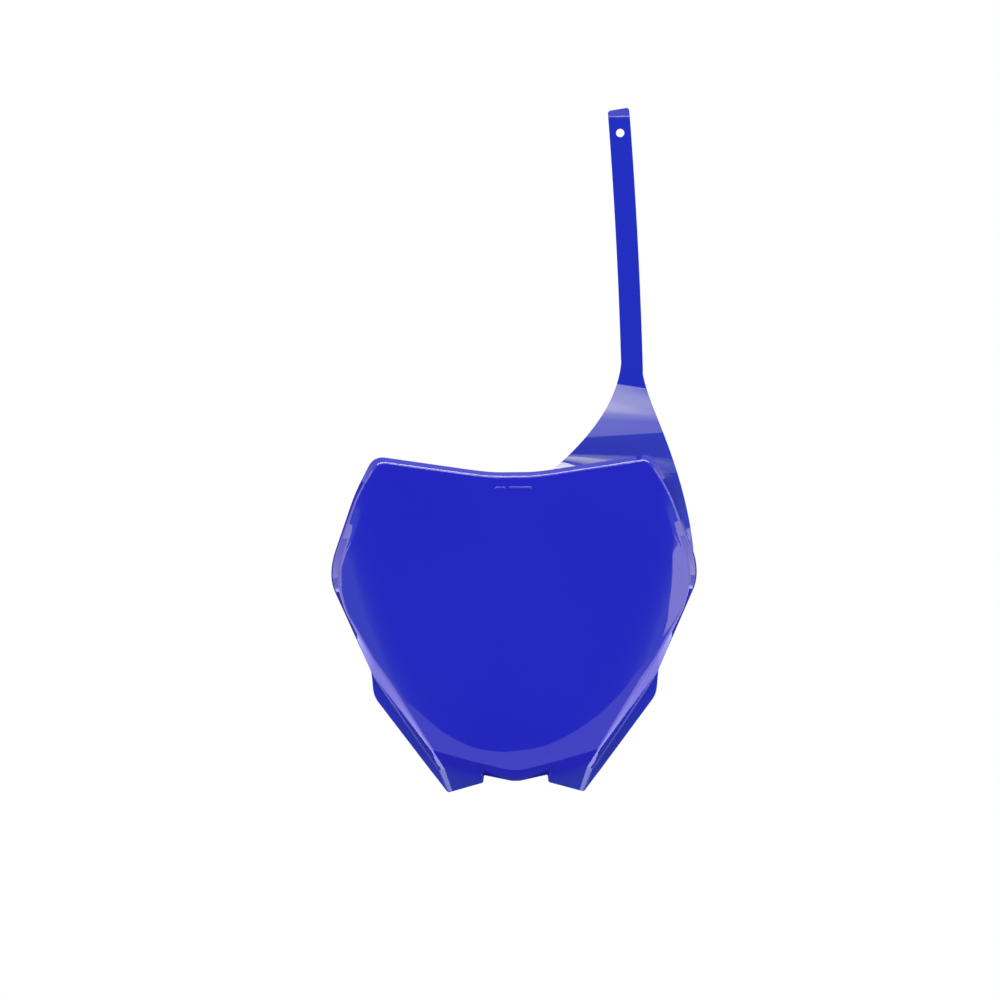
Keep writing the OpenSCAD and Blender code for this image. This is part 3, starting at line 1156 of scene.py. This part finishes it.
    def stud_place(self) -> Triple:
        """Finds where the stud stands, straight below the strap where the root is nearly upright.

        Returns:
            Its place on the root's front skin.
        """
        slope, shelf = self._corners()[6:8]
        row = mix(slope, shelf, self.stud_share)
        x = (self._left_x(row[0]) + self._right_x(row[1])) / 2
        return float(x), float((row[2] + row[3]) / 2), float((row[0] + row[1]) / 2)

    def _cut_hole(self, piece: bpy.types.Object) -> None:
        """Bores the hole near the strap's end.

        Args:
            piece: The strap.
        """
        z = self.fold_z - self.hole_below
        place, radius = (self.mid_x(z), self.depth, z), self.hole_d / 2
        near, far = self.cutter_span
        profile = ((0, near), (radius, near), (radius, far), (0, far))
        cutter = Lathe(self.origin, "hole_cutter", place, profile, self.cutter_sides).build()
        bore = piece.modifiers.new("bore", "BOOLEAN")
        bore.operation = "DIFFERENCE"
        bore.solver = "EXACT"
        bore.object = cutter
        keep_modifiers(piece)
        bpy.data.objects.remove(cutter)

    def build(self) -> bpy.types.Object:
        """Makes the strap with its root.

        Returns:
            The piece, closed, with its hole bored and its edges eased.
        """
        maker = MeshMaker(self.origin)
        shares = [k / self.across for k in range(self.across + 1)]
        rings = []
        for row in self._rows():
            front = [self._point(row, u, 0.0) for u in shares]
            back = [self._point(row, u, self.thick) for u in reversed(shares)]
            rings.append(maker.row(front + back))
        for a, b in zip(rings, rings[1:]):
            maker.band(a, b, closed=True)
        n = self.across
        for ring in (rings[0], rings[-1]):
            for k in range(n):
                maker.faces.append((ring[k], ring[k + 1], ring[2 * n - k], ring[2 * n + 1 - k]))
        piece = maker.make("strap")
        self._cut_hole(piece)
        ease_edges(piece, self.edge_round)
        for face in piece.data.polygons:
            face.use_smooth = True
        return finished(piece, self.finish)


@dataclass
class Lathe:
    """A turned form round an axis that points back from the board."""

    origin: Triple
    name: str
    place: Triple
    profile: tuple[Pair, ...]
    sides: int = 48

    def build(self) -> bpy.types.Object:
        """Makes the form.

        Returns:
            The piece, closed at both ends where its profile starts and ends on the axis.
        """
        maker = MeshMaker(self.origin)
        x0, y0, z0 = self.place
        first = maker.row([np.array([x0, y0 + self.profile[0][1], z0])])[0]
        rings = []
        for radius, y in self.profile[1:-1]:
            turn = [2 * math.pi * k / self.sides for k in range(self.sides)]
            rings.append(
                maker.row(
                    [np.array([x0 + radius * math.cos(a), y0 + y, z0 + radius * math.sin(a)]) for a in turn]
                )
            )
        last = maker.row([np.array([x0, y0 + self.profile[-1][1], z0])])[0]
        for a, b in zip(rings, rings[1:]):
            maker.band(a, b, closed=True)
        maker.fan(first, rings[0])
        maker.fan(last, rings[-1])
        return maker.make(self.name)


@dataclass
class Stud:
    """The stud behind the root that the strap's hole buttons on."""

    origin: Triple
    finish: bpy.types.Material
    place: Triple
    shaft_r: float = 2.5
    free: float = 4.0
    head_r: float = 4.0
    head_t: float = 2.4
    sunk: float = 0.9
    thick: float = 1.8
    seat: float = 0.05
    fillet: float = 0.5
    fillet_waist: float = 0.15
    head_ease: float = 0.3
    crown_in: float = 0.4
    crown_down: float = 0.05
    edge_round: float = 0.12

    def build(self) -> bpy.types.Object:
        """Makes the stud.

        Returns:
            The piece, with a small fillet at its foot and an eased head.
        """
        under = self.thick + self.free
        top = under + self.head_t
        profile = (
            (0, self.sunk),
            (self.shaft_r + self.fillet, self.sunk),
            (self.shaft_r + self.fillet, self.thick - self.seat),
            (self.shaft_r + self.fillet_waist, self.thick + self.fillet_waist),
            (self.shaft_r, self.thick + self.fillet),
            (self.shaft_r, under),
            (self.head_r - self.head_ease, under),
            (self.head_r, under + self.head_ease),
            (self.shaft_r + self.head_ease, top - self.head_ease),
            (self.shaft_r, top - self.crown_down),
            (self.shaft_r - self.crown_in, top),
            (0, top),
        )
        piece = Lathe(self.origin, "stud", self.place, profile).build()
        ease_edges(piece, self.edge_round)
        return finished(piece, self.finish)


# The studio


class Side(Enum):
    """Where a card stands, as degrees round from the camera and up."""

    CAMERA = (0.0, 0.0)
    LEFT = (-55.0, -3.5)
    RIGHT = (55.0, -3.5)
    BESIDE_LEFT = (-100.0, 2.0)
    BESIDE_RIGHT = (100.0, 2.0)
    FAR_LEFT = (-104.0, -35.0)
    FAR_RIGHT = (104.0, -35.0)
    HIGH_LEFT = (-78.0, 20.0)
    HIGH_RIGHT = (78.0, 20.0)
    ABOVE = (9.0, 54.5)
    BELOW_TOP = (7.0, 40.0)
    SPOT = (10.5, 49.0)
    OVERHEAD = (0.0, 88.0)
    OVER_TAB = (108.7, 74.2)
    BELOW = (0.0, -86.6)
    BEHIND = (180.0, 0.0)


# Corners of the dark wall before the board, in metres across and up. The camera doesn't see the wall,
# and its outline is drawn so that its mirror image ends near where the photo's dark zones do.
DARK_WALL = (
    (-1.9, 0.84), (-1.9, -0.06), (-0.88, -0.11), (-2.3, -0.86), (-2.3, -1.0), (-1.0, -1.0),
    (-0.925, -0.86), (-0.69, -0.785), (-0.27, -0.78), (0.026, -0.725), (0.84, -0.7),
    (1.258, -0.76), (1.34, -0.64), (0.66, -0.1), (0.72, -0.07), (1.9, -0.05), (1.9, 1.7),
    (0.42, 1.7), (0.42, 0.84),
)


@dataclass(frozen=True)
class Card:
    """A card or softbox that only shows in the plastic's reflections."""

    name: str
    side: Side
    distance: float
    width: float
    height: float
    strength: float
    colour: Triple = (1.0, 0.92, 0.66)
    feather: float = 0.05
    outline: tuple[Pair, ...] = ()
    flank: float = 0.0

    def build(self, middle: Vector) -> bpy.types.Object:
        """Makes the card, facing the object's middle.

        Args:
            middle: Middle of the object.

        Returns:
            The card, marked as part of the stage.
        """
        turn, rise = (math.radians(d) for d in self.side.value)
        out = Vector((math.sin(turn) * math.cos(rise), -math.cos(turn) * math.cos(rise), math.sin(rise)))
        mesh = bpy.data.meshes.new(self.name)
        w, h = self.width / 2, self.height / 2
        corners = self.outline or ((-w, -h), (w, -h), (w, h), (-w, h))
        mesh.from_pydata([(*corner, 0) for corner in corners], [], [tuple(range(len(corners)))])
        uv = mesh.uv_layers.new(name="place")
        for corner, place in zip(uv.data, ((0, 0), (1, 0), (1, 1), (0, 1))):
            corner.uv = place
        feather = 0.0 if self.outline else self.feather
        card = put(self.name, mesh)
        card.matrix_world = Matrix.Translation(middle + out * self.distance) @ (
            out.to_track_quat("Z", "Y").to_matrix().to_4x4()
        )
        mesh.materials.append(CardGlow(self.name, self.strength, self.colour, feather, self.flank).build())
        for rays in ("camera", "diffuse", "transmission", "volume_scatter", "shadow"):
            setattr(card, f"visible_{rays}", False)
        card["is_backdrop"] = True
        return card


@dataclass(frozen=True)
class Lamp:
    """An area lamp aimed at the object."""

    name: str
    place: Triple
    size: float
    watts: float

    def build(self, middle: Vector) -> bpy.types.Object:
        """Hangs the lamp.

        Args:
            middle: Middle of the object.

        Returns:
            The lamp, which gives light but isn't seen in reflections.
        """
        data = bpy.data.lights.new(self.name, "AREA")
        data.shape = "SQUARE"
        data.size = self.size
        data.energy = self.watts
        lamp = put(self.name, data)
        lamp.location = middle + Vector(self.place)
        lamp.rotation_euler = (-Vector(self.place)).to_track_quat("-Z", "Y").to_euler()
        lamp.visible_camera = False
        lamp.visible_glossy = False
        return lamp


@dataclass
class Studio:
    """World, floor, cards, lamps and camera.

    picture_w is how many metres the picture spans across the board, at board_y along y.
    """

    middle: Vector
    ambient: float = 0.72
    floor_z: float = -1.25
    floor_half: float = 1.6
    # Name, side, distance, width and height in metres, strength, and colour where it has its own
    cards: tuple[Card, ...] = (
        Card("dark_wall", Side.CAMERA, 1.2, 0, 0, 0.1, (0.7, 1.0, 0.4), outline=DARK_WALL, flank=0.8),
        Card("cheek_box_left", Side.LEFT, 3.5, 3.1, 2.2, 4.5, feather=0.1),
        Card("cheek_box_right", Side.RIGHT, 3.5, 3.1, 2.2, 4.5, feather=0.1),
        Card("side_box_left", Side.BESIDE_LEFT, 3.4, 2.6, 2.2, 2.4, feather=0.1),
        Card("side_box_right", Side.BESIDE_RIGHT, 3.4, 2.6, 2.2, 3.0, feather=0.1),
        Card("leg_box_left", Side.FAR_LEFT, 1.3, 1.5, 0.95, 3.4, (0.95, 0.9, 1.45), feather=0.12),
        Card("leg_box_right", Side.FAR_RIGHT, 1.3, 1.5, 0.95, 3.4, (0.95, 0.9, 1.45), feather=0.12),
        Card("high_box_left", Side.HIGH_LEFT, 1.2, 0.7, 0.35, 5.0, feather=0.4),
        Card("high_box_right", Side.HIGH_RIGHT, 1.2, 0.7, 0.35, 5.0, feather=0.4),
        Card("top_box", Side.ABOVE, 1.25, 0.5, 0.58, 8.6, (1.0, 0.96, 0.45), feather=1.0),
        Card("low_top_box", Side.BELOW_TOP, 1.3, 0.4, 0.5, 3.1, (1.0, 0.96, 0.6), feather=1.0),
        Card("spot_box", Side.SPOT, 1.2, 0.15, 0.17, 11.5, (1.0, 0.96, 0.6), feather=1.0),
        Card("line_box", Side.OVERHEAD, 1.3, 2.2, 0.6, 15.0, feather=0.2),
        Card("dark_tab_card", Side.OVER_TAB, 0.282, 0.04, 0.04, 1.0, feather=0.05),
        Card("dark_floor", Side.BELOW, 1.0, 1.3, 1.6, 0.1, feather=0.05),
        Card("dark_back", Side.BEHIND, 1.6, 3.6, 2.2, 0.1, feather=0.1),
    )
    lamps: tuple[Lamp, ...] = (
        Lamp("key", (-0.6, -1.6, 1.5), 1.2, 18.0),
        Lamp("fill", (1.4, -1.4, 0.3), 1.0, 6.0),
        Lamp("back", (0.4, 1.6, 0.9), 1.2, 8.0),
    )
    lens: float = 500.0
    picture_w: float = 0.66
    eye_x: float = -0.08177
    eye_z: float = -0.2425
    board_y: float = -0.037
    roll: float = 0.5

    def build(self) -> None:
        """Sets up everything round the object."""
        self._world()
        self._floor()
        for part in (*self.cards, *self.lamps):
            part.build(self.middle)
        self._camera()
        scene = bpy.context.scene
        scene.view_settings.view_transform = "Standard"

    def _world(self) -> None:
        """Makes the world white where it is seen and even where it gives light."""
        world = bpy.data.worlds.new("studio")
        bpy.context.scene.world = world
        world.use_nodes = True
        nodes = Nodes(world.node_tree)
        light, white = (
            nodes.add("Background", None, {"Color": (1, 1, 1, 1), "Strength": strength})[0]
            for strength in (self.ambient, 1.0)
        )
        both = nodes.add("MixShader", None, {0: seen_directly(nodes), 1: light, 2: white})[0]
        nodes.add("OutputWorld", None, {"Surface": both})

    def _floor(self) -> None:
        """Lays a pale floor well below the object, which is held up."""
        h = self.floor_half
        mesh = bpy.data.meshes.new("floor")
        mesh.from_pydata([(-h, -h, 0), (h, -h, 0), (h, h, 0), (-h, h, 0)], [], [(0, 1, 2, 3)])
        mesh.materials.append(PaleFloor().build())
        floor = put("floor", mesh)
        floor.location = (0, 0, self.floor_z)
        floor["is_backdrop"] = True

    def _camera(self) -> None:
        """Sets the camera square to the board's front, with the photograph's slight roll."""
        data = bpy.data.cameras.new("camera")
        data.lens = self.lens
        data.clip_start, data.clip_end = 0.1, 100.0
        camera = put("camera", data)
        distance = self.picture_w * self.lens / data.sensor_width
        camera.location = (self.eye_x, self.board_y - distance, self.eye_z)
        square = Matrix.Rotation(math.radians(90), 4, "X")
        camera.rotation_euler = (Matrix.Rotation(math.radians(self.roll), 4, "Y") @ square).to_euler()
        bpy.context.scene.camera = camera


def report(piece: bpy.types.Object) -> None:
    """Logs a piece's name and number of faces."""
    log.info("%s: %d faces", piece.name, len(piece.data.polygons))


def main() -> None:
    """Builds the board's pieces in order, then the studio round them."""
    logging.basicConfig(level=logging.INFO)
    finish = MouldedPlastic().build()
    strap_end = Strap((0, 0, 0), finish)
    hole_z = strap_end.fold_z - strap_end.hole_below
    # The shared frame has its origin in the middle of the strap's hole
    origin = (strap_end.mid_x(hole_z), strap_end.depth + strap_end.thick / 2, hole_z)

    shell = BoardShell(origin, finish).build()
    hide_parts(NODE)
    marks = ReliefMarks(origin, finish).build()
    strap = Strap(origin, finish).build()
    stud = Stud(origin, finish, strap_end.stud_place()).build()
    for piece in (shell, marks, strap, stud):
        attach(piece, BODY)
        report(piece)

    low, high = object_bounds()
    Studio((low + high) / 2).build()


if __name__ == "__main__":
    main()
